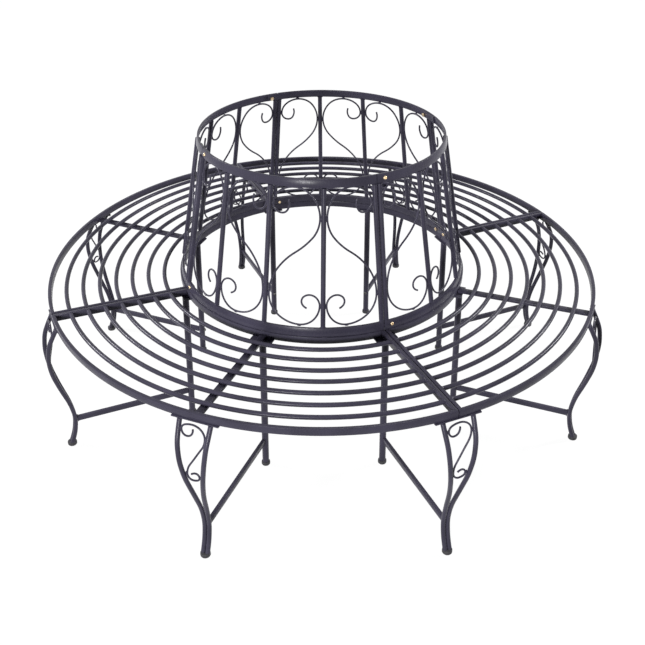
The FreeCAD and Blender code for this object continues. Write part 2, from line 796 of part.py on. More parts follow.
def rail_fasteners():
    """A dome bolt and a nut at each seam of both rails, and a screw from inside at each low one."""
    gap = size("weld_gap")
    nut_face = size("back_rail_thickness") + size("lap_thickness") + 2 * gap
    bolt = dome_bolt(size("rail_bolt_head"), size("rail_bolt_head_height"), size("rail_bolt_shank"),
                     nut_face + size("rail_nut_height") + size("rail_bolt_end"))
    nut = hex_nut(size("rail_nut_flats"), size("rail_bolt_shank") + gap, size("rail_nut_height"))
    bolts = []
    nuts = []
    for kind in RAILS:
        for seam in QUARTERS.values():
            under_head = rail_bolt_place(kind, seam, 1, gap / 2).multiply(TURNED_OVER)
            bolts.append(bolt.transformed(under_head.toMatrix()))
            inside = rail_bolt_place(kind, seam, 1, -nut_face).multiply(TURNED_OVER)
            nuts.append(nut.transformed(inside.toMatrix()))
    fixed_shape("back_rail_bolts", Part.makeCompound(bolts))
    fixed_shape("back_rail_nuts", Part.makeCompound(nuts))
    screw = dome_bolt(size("rail_bolt_head"), size("rail_bolt_head_height"), size("rail_bolt_shank"),
                      size("lap_thickness") + 2 * gap + size("lap_screw_bite"))
    screws = [screw.transformed(rail_bolt_place("low", seam, -1, -nut_face).toMatrix())
              for seam in QUARTERS.values()]
    fixed_shape("back_lap_screws", Part.makeCompound(screws))


for quarter_name, quarter_angle in QUARTERS.items():
    seat_rims(quarter_name, quarter_angle)
    seat_slats(quarter_name, quarter_angle)
    seat_bars(quarter_name, quarter_angle)
    back_rail("top", quarter_name, quarter_angle)
    back_rail("low", quarter_name, quarter_angle)
    back_uprights(quarter_name, quarter_angle)
    back_scrolls(quarter_name, quarter_angle)
for leg_name, leg_angle in LEGS.items():
    leg_tubes(leg_name, leg_angle)
    leg_post(leg_name, leg_angle)
leg_scrolls()
leg_braces()
feet("leg_front_feet", "dims.front_foot_diameter", size("front_foot_radius"))
feet("leg_post_feet", "dims.post_foot_diameter", size("post_foot_radius"))
top_plates()
leg_bolts()
brace_bolts()
back_lap_plates()
rail_fasteners()
doc.recompute()

broken = [item.Label for item in doc.Objects if "Invalid" in item.State or "Error" in item.State]
if broken:
    raise RuntimeError("failed objects: %s" % broken)
for item in nodes:
    if item.Shape.isNull() or not item.Shape.isValid():
        raise RuntimeError("bad shape: %s" % item.Label)
os.makedirs("parts", exist_ok=True)
for item in nodes:
    item.Shape.exportStep("parts/%s.step" % item.Label)
print("wrote %d nodes" % len(nodes))
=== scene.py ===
import bmesh
import bpy
import json
import math
import random
from mathutils import Matrix, Vector


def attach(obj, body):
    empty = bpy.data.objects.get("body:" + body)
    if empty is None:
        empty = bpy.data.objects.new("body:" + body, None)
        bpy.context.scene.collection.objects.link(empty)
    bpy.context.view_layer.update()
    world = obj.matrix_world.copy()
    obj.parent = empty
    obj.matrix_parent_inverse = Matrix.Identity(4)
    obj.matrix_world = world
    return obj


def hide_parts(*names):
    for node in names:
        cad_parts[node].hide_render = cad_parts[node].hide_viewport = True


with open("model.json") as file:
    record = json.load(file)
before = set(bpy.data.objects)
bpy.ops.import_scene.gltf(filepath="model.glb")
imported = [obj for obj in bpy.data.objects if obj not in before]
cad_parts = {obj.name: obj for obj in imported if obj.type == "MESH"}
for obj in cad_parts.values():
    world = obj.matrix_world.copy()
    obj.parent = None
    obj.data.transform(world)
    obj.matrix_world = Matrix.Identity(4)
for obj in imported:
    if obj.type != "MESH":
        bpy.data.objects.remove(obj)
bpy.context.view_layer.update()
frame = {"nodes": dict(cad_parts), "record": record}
nodes = frame["nodes"]
rng = random.Random(7)
print("frame loaded:", len(nodes), "nodes")

quarters = {"right": -67.5, "back": 22.5, "left": 112.5, "front": 202.5}  # plan angle where each starts
legs = {
    "front_right": -67.5, "right_front": -22.5, "right_back": 22.5, "back_right": 67.5,
    "back_left": 112.5, "left_back": 157.5, "left_front": 202.5, "front_left": 247.5,
}


# Camera

view = {
    "place": (-0.0364, -2.285, 1.7083), "pitch": 33.04, "heading": -0.97,
    "lens": 47.985, "sensor": 36, "farClip": 60,
}

cameraData = bpy.data.cameras.new("camera")
cameraData.lens = view["lens"]
cameraData.sensor_width = view["sensor"]
cameraData.clip_end = view["farClip"]
camera = bpy.data.objects.new("camera", cameraData)
camera.location = view["place"]
camera.rotation_euler = (math.radians(90 - view["pitch"]), 0, math.radians(view["heading"]))
bpy.context.scene.collection.objects.link(camera)
bpy.context.scene.camera = camera
bpy.context.scene.view_settings.view_transform = "Standard"
print("camera set")


# Studio

studio = {
    "lamps": {  # place and power of each
        "front": ((-1.0, -3.8, 1.1), 92), "top": ((0.3, 1.4, 3.4), 8),
        "left": ((-3.4, 0.6, 1.9), 92), "right": ((3.4, 0.9, 2.1), 92),
    },
    "lampSize": 0.8, "aim": (0, 0, 0.4), "worldLight": 0.02,
    "floorSize": 60, "floorShadow": 0.13, "floorBounce": 0.05, "floorGlow": 0.945, "floorFade": (1.5, 5),
}


def areaLight(name, place, power):
    lampData = bpy.data.lights.new(name, "AREA")
    lampData.shape = "DISK"
    lampData.size = studio["lampSize"]
    lampData.energy = power
    lamp = bpy.data.objects.new(name, lampData)
    lamp.location = place
    lamp.rotation_euler = (Vector(studio["aim"]) - Vector(place)).to_track_quat("-Z", "Y").to_euler()
    bpy.context.scene.collection.objects.link(lamp)


def newMaterial(name):
    material = bpy.data.materials.new(name)
    material.use_nodes = True
    material.node_tree.nodes.clear()
    return material, material.node_tree.nodes, material.node_tree.links


def noise(shaders, links, place, scale, detail=3.0, roughness=0.55):
    texture = shaders.new("ShaderNodeTexNoise")
    texture.inputs["Scale"].default_value = scale
    texture.inputs["Detail"].default_value = detail
    texture.inputs["Roughness"].default_value = roughness
    links.new(place, texture.inputs["Vector"])
    return texture.outputs["Fac"]


def between(shaders, links, factor, low, high, lowFrom=0.35, highFrom=0.65):
    scaled = shaders.new("ShaderNodeMapRange")
    scaled.inputs["From Min"].default_value = lowFrom
    scaled.inputs["From Max"].default_value = highFrom
    scaled.inputs["To Min"].default_value = low
    scaled.inputs["To Max"].default_value = high
    links.new(factor, scaled.inputs["Value"])
    return scaled.outputs["Result"]


def blendColour(shaders, links, factor, first, second):
    mix = shaders.new("ShaderNodeMix")
    mix.data_type = "RGBA"
    links.new(factor, mix.inputs["Factor"])
    for socket, colour in ((mix.inputs["A"], first), (mix.inputs["B"], second)):
        if isinstance(colour, tuple):
            socket.default_value = colour + (1,)
        else:
            links.new(colour, socket)
    return mix.outputs["Result"]


def bump(shaders, links, height, strength, distance, under=None):
    node = shaders.new("ShaderNodeBump")
    node.inputs["Strength"].default_value = strength
    node.inputs["Distance"].default_value = distance
    links.new(height, node.inputs["Height"])
    if under is not None:
        links.new(under, node.inputs["Normal"])
    return node.outputs["Normal"]


def seenRays(shaders, links):  # 1 for camera, mirror and transmission rays, which show the background
    path = shaders.new("ShaderNodeLightPath")
    total = path.outputs["Is Camera Ray"]
    for kind in ("Is Glossy Ray", "Is Transmission Ray"):
        either = shaders.new("ShaderNodeMath")
        either.operation = "MAXIMUM"
        links.new(total, either.inputs[0])
        links.new(path.outputs[kind], either.inputs[1])
        total = either.outputs[0]
    return total


def buildStudio():
    for side, (place, power) in studio["lamps"].items():
        areaLight(side + " softbox", place, power)
    world = bpy.data.worlds.new("studio")
    bpy.context.scene.world = world
    world.use_nodes = True
    tree = world.node_tree
    tree.nodes.clear()
    output = tree.nodes.new("ShaderNodeOutputWorld")
    light = tree.nodes.new("ShaderNodeBackground")
    light.inputs["Color"].default_value = (1, 1, 1, 1)
    light.inputs["Strength"].default_value = studio["worldLight"]
    seen = tree.nodes.new("ShaderNodeBackground")
    seen.inputs["Color"].default_value = (1, 1, 1, 1)
    mix = tree.nodes.new("ShaderNodeMixShader")
    tree.links.new(seenRays(tree.nodes, tree.links), mix.inputs["Fac"])
    tree.links.new(light.outputs[0], mix.inputs[1])
    tree.links.new(seen.outputs[0], mix.inputs[2])
    tree.links.new(mix.outputs[0], output.inputs["Surface"])


def buildFloor():
    bm = bmesh.new()
    bmesh.ops.create_grid(bm, x_segments=1, y_segments=1, size=studio["floorSize"] / 2)
    mesh = bpy.data.meshes.new("floor")
    bm.to_mesh(mesh)
    bm.free()
    floor = bpy.data.objects.new("floor", mesh)
    bpy.context.scene.collection.objects.link(floor)
    material, shaders, links = newMaterial("white floor")
    output = shaders.new("ShaderNodeOutputMaterial")
    matte = shaders.new("ShaderNodeBsdfDiffuse")
    glow = shaders.new("ShaderNodeEmission")
    seen = seenRays(shaders, links)
    tone = blendColour(shaders, links, seen, (studio["floorBounce"],) * 3, (studio["floorShadow"],) * 3)
    links.new(tone, matte.inputs["Color"])
    distance = shaders.new("ShaderNodeVectorMath")
    distance.operation = "LENGTH"
    links.new(shaders.new("ShaderNodeTexCoord").outputs["Object"], distance.inputs[0])
    paler = between(shaders, links, distance.outputs["Value"], studio["floorGlow"], 1, *studio["floorFade"])
    strength = shaders.new("ShaderNodeMath")
    strength.operation = "MULTIPLY"
    links.new(seen, strength.inputs[0])
    links.new(paler, strength.inputs[1])
    links.new(strength.outputs[0], glow.inputs["Strength"])
    both = shaders.new("ShaderNodeAddShader")
    links.new(matte.outputs[0], both.inputs[0])
    links.new(glow.outputs[0], both.inputs[1])
    links.new(both.outputs[0], output.inputs["Surface"])
    mesh.materials.append(material)


buildStudio()
buildFloor()
print("studio and floor built")


# Materials

coat = {
    "colour": (0.076, 0.070, 0.108), "shade": (0.052, 0.048, 0.074), "cloudSize": 9, "detail": 2.0,
    "grainSize": 1400, "grainDepth": 0.00018, "grainStrength": 0.22,
    "rippleSize": 240, "rippleDepth": 0.00054, "rippleStrength": 0.1,
    "fleckShare": 0.35, "fleckRange": (0.55, 0.75), "fleckLight": 1.7,
    "smoothest": 0.22, "roughest": 0.32, "specular": 0.16,
}
capPlastic = {
    "colour": (0.035, 0.034, 0.040), "dust": (0.085, 0.082, 0.085), "roughness": 0.62,
    "grainSize": 900, "grainDetail": 4.0, "grainStrength": 0.3, "grainDepth": 0.0002,
    "spots": (60, 5.0, 0.7),  # size, detail and roughness
    "dustShare": 0.7, "dustRange": (0.5, 0.8),
}
plating = {
    "grainSize": 500, "grainDetail": 4.0, "grainStrength": 0.15, "grainDepth": 0.0002,
    "rougher": 0.1, "smoother": 0.06,
}
# The bolts' zinc is painted far darker than bare zinc plate: painted shade for bolts that sit in the seat's
# shadow.
zincSteelPaintedShade = {"colour": (0.12, 0.12, 0.125), "stain": (0.08, 0.077, 0.074), "roughness": 0.5}
yellowZinc = {"colour": (0.80, 0.66, 0.46), "stain": (0.58, 0.44, 0.27), "roughness": 0.3}


def powderCoat():
    material, shaders, links = newMaterial("charcoal powder coat")
    output = shaders.new("ShaderNodeOutputMaterial")
    surface = shaders.new("ShaderNodeBsdfPrincipled")
    place = shaders.new("ShaderNodeTexCoord").outputs["Object"]
    cloud = noise(shaders, links, place, coat["cloudSize"])
    grain = noise(shaders, links, place, coat["grainSize"], coat["detail"])
    ripple = noise(shaders, links, place, coat["rippleSize"], coat["detail"])
    fleck = between(shaders, links, grain, 0, coat["fleckShare"], *coat["fleckRange"])
    tone = blendColour(shaders, links, between(shaders, links, cloud, 0, 1), coat["shade"], coat["colour"])
    surface.inputs["Specular IOR Level"].default_value = coat["specular"]
    light = tuple(min(1, c * coat["fleckLight"]) for c in coat["colour"])
    links.new(blendColour(shaders, links, fleck, tone, light), surface.inputs["Base Color"])
    roughness = between(shaders, links, ripple, coat["smoothest"], coat["roughest"])
    links.new(roughness, surface.inputs["Roughness"])
    small = bump(shaders, links, grain, coat["grainStrength"], coat["grainDepth"])
    waves = bump(shaders, links, ripple, coat["rippleStrength"], coat["rippleDepth"], small)
    links.new(waves, surface.inputs["Normal"])
    links.new(surface.outputs[0], output.inputs["Surface"])
    return material


def footPlastic():
    material, shaders, links = newMaterial("black foot plastic")
    output = shaders.new("ShaderNodeOutputMaterial")
    surface = shaders.new("ShaderNodeBsdfPrincipled")
    place = shaders.new("ShaderNodeTexCoord").outputs["Object"]
    grain = noise(shaders, links, place, capPlastic["grainSize"], capPlastic["grainDetail"])
    spots = noise(shaders, links, place, *capPlastic["spots"])
    dusty = between(shaders, links, spots, 0, capPlastic["dustShare"], *capPlastic["dustRange"])
    tone = blendColour(shaders, links, dusty, capPlastic["colour"], capPlastic["dust"])
    links.new(tone, surface.inputs["Base Color"])
    surface.inputs["Roughness"].default_value = capPlastic["roughness"]
    small = bump(shaders, links, grain, capPlastic["grainStrength"], capPlastic["grainDepth"])
    links.new(small, surface.inputs["Normal"])
    links.new(surface.outputs[0], output.inputs["Surface"])
    return material


def platedMetal(name, finish):
    material, shaders, links = newMaterial(name)
    output = shaders.new("ShaderNodeOutputMaterial")
    surface = shaders.new("ShaderNodeBsdfPrincipled")
    surface.inputs["Metallic"].default_value = 1
    place = shaders.new("ShaderNodeTexCoord").outputs["Object"]
    spots = noise(shaders, links, place, plating["grainSize"], plating["grainDetail"])
    clean = between(shaders, links, spots, 0, 1)
    tone = blendColour(shaders, links, clean, finish["stain"], finish["colour"])
    links.new(tone, surface.inputs["Base Color"])
    roughest = finish["roughness"] + plating["rougher"]
    smoothest = finish["roughness"] - plating["smoother"]
    links.new(between(shaders, links, spots, roughest, smoothest), surface.inputs["Roughness"])
    small = bump(shaders, links, spots, plating["grainStrength"], plating["grainDepth"])
    links.new(small, surface.inputs["Normal"])
    links.new(surface.outputs[0], output.inputs["Surface"])
    return material


finishes = {
    "powder_coat": powderCoat(),
    "foot_plastic": footPlastic(),
    # Zinc plated steel whose colour holds painted shade.
    "bolt_steel": platedMetal("zinc plated steel", zincSteelPaintedShade),
    "bolt_brass": platedMetal("yellow zinc plated steel", yellowZinc),
}
for subpart in frame["record"]["subparts"]:
    slots = nodes[subpart["node"]].data.materials
    for i in range(len(slots)):
        slots[i] = finishes[subpart["material_slot"]]
print("finishes made")


# Shared modelling helpers: pieces are drawn in millimetres and finished in metres

modelling = {"smoothAngle": 35, "weldSmoothAngle": 60, "mergeDistance": 0.001}
weld = {"beadSides": 8, "beadRings": 5, "collarSides": 5, "collarSteps": 12}


def turn(angle):
    return Matrix.Rotation(math.radians(angle), 4, "Z")


def atAngle(radius, across, height, angle):
    return turn(angle) @ Vector((radius, across, height))


def standAt(radius, across, height, angle):  # local X points away from the tree
    return turn(angle) @ Matrix.Translation((radius, across, height))


def addCopy(target, source, place):
    mesh = bpy.data.meshes.new("copy")
    source.to_mesh(mesh)
    mesh.transform(place)
    target.from_mesh(mesh)
    bpy.data.meshes.remove(mesh)


def finishPiece(name, bm, slot, replaced=(), smooth=modelling["smoothAngle"]):
    bmesh.ops.scale(bm, vec=(0.001, 0.001, 0.001), verts=bm.verts)
    bmesh.ops.recalc_face_normals(bm, faces=bm.faces)
    mesh = bpy.data.meshes.new(name)
    bm.to_mesh(mesh)
    bm.free()
    piece = bpy.data.objects.new(name, mesh)
    bpy.context.scene.collection.objects.link(piece)
    mesh.materials.append(finishes[slot])
    mesh.shade_smooth()
    mesh.set_sharp_from_angle(angle=math.radians(smooth))
    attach(piece, "root")
    if replaced:
        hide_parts(*replaced)


def soften(bm, edges, size, segments=2):
    bmesh.ops.bevel(
        bm, geom=edges, offset=size, segments=segments, profile=0.5, affect="EDGES", material=-1)


def block(length, width, depth, edge):  # runs along X from the origin, with its top at zero
    bm = bmesh.new()
    bmesh.ops.create_cube(bm, size=1, matrix=Matrix.Translation((0.5, 0, -0.5)))
    bmesh.ops.scale(bm, vec=(length, width, depth), verts=bm.verts)
    soften(bm, bm.edges[:], edge)
    return bm


def cutOff(bm, place, way):  # removes what lies beyond the plane, on the side that way points to
    bmesh.ops.bisect_plane(bm, geom=bm.verts[:] + bm.edges[:] + bm.faces[:], plane_co=place, plane_no=way,
                           clear_outer=True)
    rims = [edge for edge in bm.edges if edge.is_boundary]
    return bmesh.ops.holes_fill(bm, edges=rims, sides=0)["faces"]


def softCut(bm, place, way, edge):  # a cut whose rim is softened
    cap = cutOff(bm, place, way)
    soften(bm, list({e for face in cap if face.is_valid for e in face.edges}), edge, 1)


def bentBar(corners, edge, start, sweep, steps, cuts=(), cutEdge=0):  # bent about the ring's middle
    bm = bmesh.new()
    bm.faces.new([bm.verts.new((radius, 0, height)) for radius, height in corners])
    bmesh.ops.bevel(
        bm, geom=bm.verts[:], offset=edge, segments=2, profile=0.5, affect="VERTICES", material=-1)
    bmesh.ops.delete(bm, geom=bm.faces[:], context="FACES_ONLY")
    bmesh.ops.rotate(bm, verts=bm.verts, matrix=turn(start))
    bmesh.ops.spin(bm, geom=bm.edges[:], axis=(0, 0, 1), angle=math.radians(sweep), steps=steps)
    if not cuts:
        bmesh.ops.holes_fill(bm, edges=[e for e in bm.edges if e.is_boundary], sides=0)
    for place, way in cuts:
        softCut(bm, place, way, cutEdge)
    return bm


def bead(width, length, height):  # a small rounded weld, longest along Y
    bm = bmesh.new()
    bmesh.ops.create_uvsphere(bm, u_segments=weld["beadSides"], v_segments=weld["beadRings"], radius=1)
    bmesh.ops.scale(bm, vec=(width, length, height), verts=bm.verts)
    return bm


def spun(bm, steps):  # a full turn about Z
    bmesh.ops.spin(
        bm, geom=bm.edges[:], axis=(0, 0, 1), angle=math.radians(360), steps=steps, use_merge=True)
    bmesh.ops.remove_doubles(bm, verts=bm.verts, dist=modelling["mergeDistance"])
    return bm


def collar(radius, thickness):  # a ring of weld round a rod that stands on Z
    bm = bmesh.new()
    stood = Matrix.Translation((radius, 0, 0)) @ Matrix.Rotation(math.radians(90), 4, "X")
    bmesh.ops.create_circle(bm, segments=weld["collarSides"], radius=thickness, matrix=stood)
    return spun(bm, weld["collarSteps"])


def lathed(profile, segments):  # a closed round piece from points of radius and height
    bm = bmesh.new()
    points = [bm.verts.new((radius, 0, height)) for radius, height in profile]
    for i in range(len(points) - 1):
        bm.edges.new((points[i], points[i + 1]))
    return spun(bm, segments)


# Seat rims: rectangular bars with softened edges, mitred at the seams

seat = {
    "radius": 800, "innerRadius": 424, "rimWidth": 10, "rimDepth": 20, "top": 456, "innerTop": 450,
    "seamInset": 1, "barEdge": 1.5, "rimSteps": 64, "mitreEdge": 0.5, "jointGap": 0.45,
    "spareAngle": 2,  # a rim is bent this much too long at each end and cut back
}


def seatTop(radius):  # the seat falls a little towards the tree
    middle = seat["radius"] - seat["rimWidth"] / 2
    innerMiddle = seat["innerRadius"] - seat["rimWidth"] / 2
    return seat["top"] - (middle - radius) * (seat["top"] - seat["innerTop"]) / (middle - innerMiddle)


def bothEnds(place, way):  # a cut at a quarter's first seam, and its mirror at the last
    return [(Vector(place), Vector(way)), (Vector((place[1], place[0], 0)), Vector((way[1], way[0], 0)))]


def rimBar(radius, top, cuts):
    inner = radius - seat["rimWidth"]
    bottom = top - seat["rimDepth"]
    corners = [(inner, bottom), (radius, bottom), (radius, top), (inner, top)]
    sweep = 90 + 2 * seat["spareAngle"]
    return bentBar(
        corners, seat["barEdge"], -seat["spareAngle"], sweep, seat["rimSteps"], cuts, seat["mitreEdge"])


def buildRims():
    for quarter, angle in quarters.items():
        cuts = bothEnds((seat["radius"], seat["seamInset"], 0), (-1, -1, 0))
        outer = rimBar(seat["radius"], seat["top"], cuts)
        outer.transform(turn(angle))
        finishPiece("outer_rim_" + quarter, outer, "powder_coat", ["seat_outer_rim_" + quarter])
        cuts = bothEnds((seat["innerRadius"] - seat["rimWidth"], seat["seamInset"], 0), (1, -1, 0))
        inner = rimBar(seat["innerRadius"], seat["innerTop"], cuts)
        inner.transform(turn(angle))
        finishPiece("inner_rim_" + quarter, inner, "powder_coat", ["seat_inner_rim_" + quarter])


buildRims()
print("seat rims built")


# Bars across the seat: one along each side of a seam and a flat one under the slats' middle

bars = {
    "seamDepth": 19.8, "seamEdge": 1.5,
    "middleWidth": 20, "middleDepth": 7.8, "middleEdge": 1.2, "middleGap": 0.4, "slatDiameter": 12,
}


def seatTilt():
    return Matrix.Rotation(-math.atan(seatTop(1) - seatTop(0)), 4, "Y")


def seamBar():  # drawn a bar's width too long at both ends and mitred to the rims
    width, inset, gap = seat["rimWidth"], seat["seamInset"], seat["jointGap"]
    start = seat["innerRadius"] - 2 * width
    bar = block(seat["radius"] - start + width, width, bars["seamDepth"], bars["seamEdge"])
    height = Matrix.Translation((0, inset + width / 2, seatTop(0)))
    bar.transform(height @ seatTilt() @ Matrix.Translation((start, 0, 0)))
    softCut(bar, Vector((seat["radius"] - gap, inset, 0)), Vector((1, 1, 0)), seat["mitreEdge"])
    innerTip = Vector((seat["innerRadius"] - width + gap, inset, 0))
    softCut(bar, innerTip, Vector((-1, 1, 0)), seat["mitreEdge"])
    return bar


def middleBar():
    start = seat["innerRadius"] + bars["middleGap"]
    length = seat["radius"] - seat["rimWidth"] - bars["middleGap"] - start
    bar = block(length, bars["middleWidth"], bars["middleDepth"], bars["middleEdge"])
    bar.transform(Matrix.Translation((start, 0, seatTop(start) - bars["slatDiameter"])) @ seatTilt())
    return bar


def buildBars():
    first = seamBar()
    middle = middleBar()
    for quarter, angle in quarters.items():
        both = bmesh.new()
        addCopy(both, first, turn(angle))
        addCopy(both, first, turn(angle + 90) @ Matrix.Scale(-1, 4, (0, 1, 0)))
        addCopy(both, middle, turn(angle + 45))
        finishPiece("cross_bars_" + quarter, both, "powder_coat", ["seat_cross_bars_" + quarter])


buildBars()
print("cross bars built")


# Welds of the seat: collars and beads on the slats, and stitches along the backrest's foot

slats = {
    "count": 7, "firstRadius": 471, "pitch": 46.4, "collar": 1.1, "collarGap": 0.1,
    "beadSize": (1.5, 5.5, 1.5), "beadReach": 3.4, "beadDrop": 5.2,
    "stitchSize": (1.6, 7, 1.4), "stitchRadii": (421.4, 414.6), "stitchRise": 0.3,
    "stitchAngles": (6, 22.5, 45, 67.5, 84),
}


def buildSeatWelds():
    ring = collar(bars["slatDiameter"] / 2, slats["collar"])
    ring.transform(Matrix.Rotation(math.radians(90), 4, "X"))
    side = bead(*slats["beadSize"])
    stitch = bead(*slats["stitchSize"])
    face = seat["seamInset"] + seat["rimWidth"] + slats["collarGap"]
    stitchHeight = seat["innerTop"] + slats["stitchRise"]
    for quarter, angle in quarters.items():
        welds = bmesh.new()
        for i in range(slats["count"]):
            radius = slats["firstRadius"] + i * slats["pitch"]
            height = seatTop(radius) - bars["slatDiameter"] / 2
            beadHeight = height - slats["beadDrop"]
            across = math.sqrt(radius * radius - face * face)
            addCopy(welds, ring, standAt(across, face, height, angle))
            addCopy(welds, ring, standAt(across, -face, height, angle + 90))
            for way in (-1, 1):
                place = standAt(radius + way * slats["beadReach"], 0, beadHeight, angle + 45)
                addCopy(welds, side, place)
        for along in slats["stitchAngles"]:
            for radius in slats["stitchRadii"]:
                addCopy(welds, stitch, standAt(radius, 0, stitchHeight, angle + along))
        finishPiece("seat_welds_" + quarter, welds, "powder_coat", smooth=modelling["weldSmoothAngle"])


buildSeatWelds()
print("seat welds built")


# Backrest rails: flat bands that lean in over the tree

back = {
    "top": 860, "topRadius": 342.7, "topDepth": 22, "foot": 450, "footRadius": 420.5, "footDepth": 24,
    "thickness": 5.5, "bandEdge": 1.0, "seamEdge": 0.5, "steps": 48, "seamInset": 1, "spareAngle": 1,
    "bays": 4, "uprightRadius": 6.5, "seamFoot": 7.2, "seamHead": 6.8,
}
bayAngle = 90 / back["bays"]
backSlope = (back["footRadius"] - back["topRadius"]) / (back["top"] - back["foot"])


def backFace(height):  # outer face of the rails at a height
    return back["footRadius"] - backSlope * (height - back["foot"])


def bandCorners(bottom, depth, inset=0.0, thickness=back["thickness"]):
    top = bottom + depth
    low, high = backFace(bottom) - inset, backFace(top) - inset
    return [(low - thickness, bottom), (low, bottom), (high, top), (high - thickness, top)]


def buildRails():
    bands = {
        "top": (back["top"] - back["topDepth"], back["topDepth"]),
        "low": (back["foot"], back["footDepth"]),
    }
    cuts = bothEnds((0, back["seamInset"], 0), (0, -1, 0))
    sweep = 90 + 2 * back["spareAngle"]
    for quarter, angle in quarters.items():
        for kind, (bottom, depth) in bands.items():
            band = bentBar(
                bandCorners(bottom, depth), back["bandEdge"], -back["spareAngle"], sweep, back["steps"],
                cuts, back["seamEdge"])
            band.transform(turn(angle))
            name = "%s_rail_%s" % (kind, quarter)
            finishPiece(name, band, "powder_coat", ["back_" + name])


buildRails()
print("backrest rails built")


# Lap plates across the rails' seams, each with a bolt and nut, and the low ones with a screw from inside

laps = {
    "depth": 20, "thickness": 3, "reach": 36, "edge": 0.7, "steps": 10, "gap": 0.2, "headGap": 0.1,
    "boltOffset": 22, "boltPastNut": 1, "screwBite": 4,
}
railBolt = {"radius": 5.25, "height": 3.3, "socket": 2.0, "socketDepth": 1.8}
boltStem = {"radius": 3, "sides": 20, "endEdge": 0.5}
railNut = {"flats": 10, "height": 5, "edge": 0.5}
domeRows = (  # shares of a head's radius and height, from the socket's mouth outwards
    (None, 0.97), (0.5, 1), (0.72, 0.86), (0.89, 0.58), (0.98, 0.22), (1, 0),
)


def railMiddles():
    return {"top": back["top"] - back["topDepth"] / 2, "low": back["foot"] + back["footDepth"] / 2}


def buildLaps():
    plates = bmesh.new()
    for kind, middle in railMiddles().items():
        bottom = middle - laps["depth"] / 2
        inset = back["thickness"] + laps["gap"]
        corners = bandCorners(bottom, laps["depth"], inset, laps["thickness"])
        outer = corners[1][0]
        turned = math.degrees(laps["reach"] / outer)
        plate = bentBar(corners, laps["edge"], -turned, 2 * turned, laps["steps"])
        for angle in quarters.values():
            addCopy(plates, plate, turn(angle))
    finishPiece("lap_plates", plates, "powder_coat", ["back_lap_plates"])


def domeHead(bolt):  # a low dome with a hexagon socket, its flat at zero and its top up Z
    bm = bmesh.new()
    bmesh.ops.create_circle(bm, segments=6, radius=bolt["socket"])
    bmesh.ops.subdivide_edges(bm, edges=bm.edges[:], cuts=3)
    bmesh.ops.translate(bm, vec=(0, 0, bolt["height"] - bolt["socketDepth"]), verts=bm.verts)
    bmesh.ops.holes_fill(bm, edges=bm.edges[:], sides=0)
    edges = bm.edges[:]
    for share, high in domeRows:
        grown = bmesh.ops.extrude_edge_only(bm, edges=edges)["geom"]
        edges = [item for item in grown if isinstance(item, bmesh.types.BMEdge) and item.is_boundary]
        for vert in [item for item in grown if isinstance(item, bmesh.types.BMVert)]:
            flat = Vector((vert.co.x, vert.co.y, 0))
            if share is not None:
                flat = flat.normalized() * bolt["radius"] * share
            vert.co = Vector((flat.x, flat.y, bolt["height"] * high))
    bmesh.ops.holes_fill(bm, edges=[e for e in bm.edges if e.is_boundary], sides=0)
    return bm


def standingPrism(radius, sides, length):  # goes down from zero
    bm = bmesh.new()
    bmesh.ops.create_cone(bm, cap_ends=True, segments=sides, radius1=radius, radius2=radius, depth=length,
                          matrix=Matrix.Translation((0, 0, -length / 2)))
    return bm


def stem(length):  # its lower end is softened
    bm = standingPrism(boltStem["radius"], boltStem["sides"], length)
    below = modelling["mergeDistance"] - length
    ends = [e for e in bm.edges if e.verts[0].co.z < below and e.verts[1].co.z < below]
    soften(bm, ends, boltStem["endEdge"])
    return bm


def hexNut(nut):  # its face at zero and its thickness down Z
    bm = standingPrism(nut["flats"] / math.sqrt(3), 6, nut["height"])
    soften(bm, bm.edges[:], nut["edge"])
    return bm


def fastenerPlace(kind, seam, side, out):  # Z points out of the rail's leaning face
    middle = railMiddles()[kind]
    radius = backFace(middle)
    along = seam + side * math.degrees(math.asin(laps["boltOffset"] / radius))
    lean = Matrix.Rotation(math.radians(90) - math.atan(backSlope), 4, "Y")
    return turn(along) @ Matrix.Translation((radius, 0, middle)) @ lean @ Matrix.Translation((0, 0, out))


def randomSpin(most=math.pi / 3):
    return Matrix.Rotation(rng.uniform(0, most), 4, "Z")


def buildRailFasteners():
    head = domeHead(railBolt)
    inside = back["thickness"] + laps["thickness"] + 2 * laps["gap"]
    boltPart = stem(inside + railNut["height"] + laps["boltPastNut"])
    screwPart = stem(laps["thickness"] + 2 * laps["gap"] + laps["screwBite"])
    nut = hexNut(railNut)
    inward = Matrix.Rotation(math.radians(180), 4, "X")
    bolts, nuts, screws = bmesh.new(), bmesh.new(), bmesh.new()
    for seam in quarters.values():
        for kind in railMiddles():
            place = fastenerPlace(kind, seam, 1, laps["headGap"])
            addCopy(bolts, head, place @ randomSpin())
            addCopy(bolts, boltPart, place)
            addCopy(nuts, nut, fastenerPlace(kind, seam, 1, -inside) @ randomSpin())
        place = fastenerPlace("low", seam, -1, -inside) @ inward
        addCopy(screws, head, place @ randomSpin())
        addCopy(screws, screwPart, place)
    finishPiece("rail_bolts", bolts, "bolt_brass", ["back_rail_bolts"])
    finishPiece("rail_nuts", nuts, "bolt_brass", ["back_rail_nuts"])
    finishPiece("lap_screws", screws, "bolt_brass", ["back_lap_screws"])


buildLaps()
buildRailFasteners()
print("laps and rail fasteners built")


# Welds of the backrest, at the ends of the uprights and where the scrolls touch

backWelds = {
    "endAcross": 6.8, "endSize": (2.2, 2.6, 2.0), "touchSize": (2.6, 2.4, 7.0), "touchGap": 0.2,
    "railTouch": (2.4, 5.5, 1.6), "rodRadius": 2.5, "topShare": 0.12, "lowShare": -0.22,
    "bigLobe": 286, "lowCurl": 58, "topCurl": 318, "lowLobe": 80,  # heights where a scroll touches
}


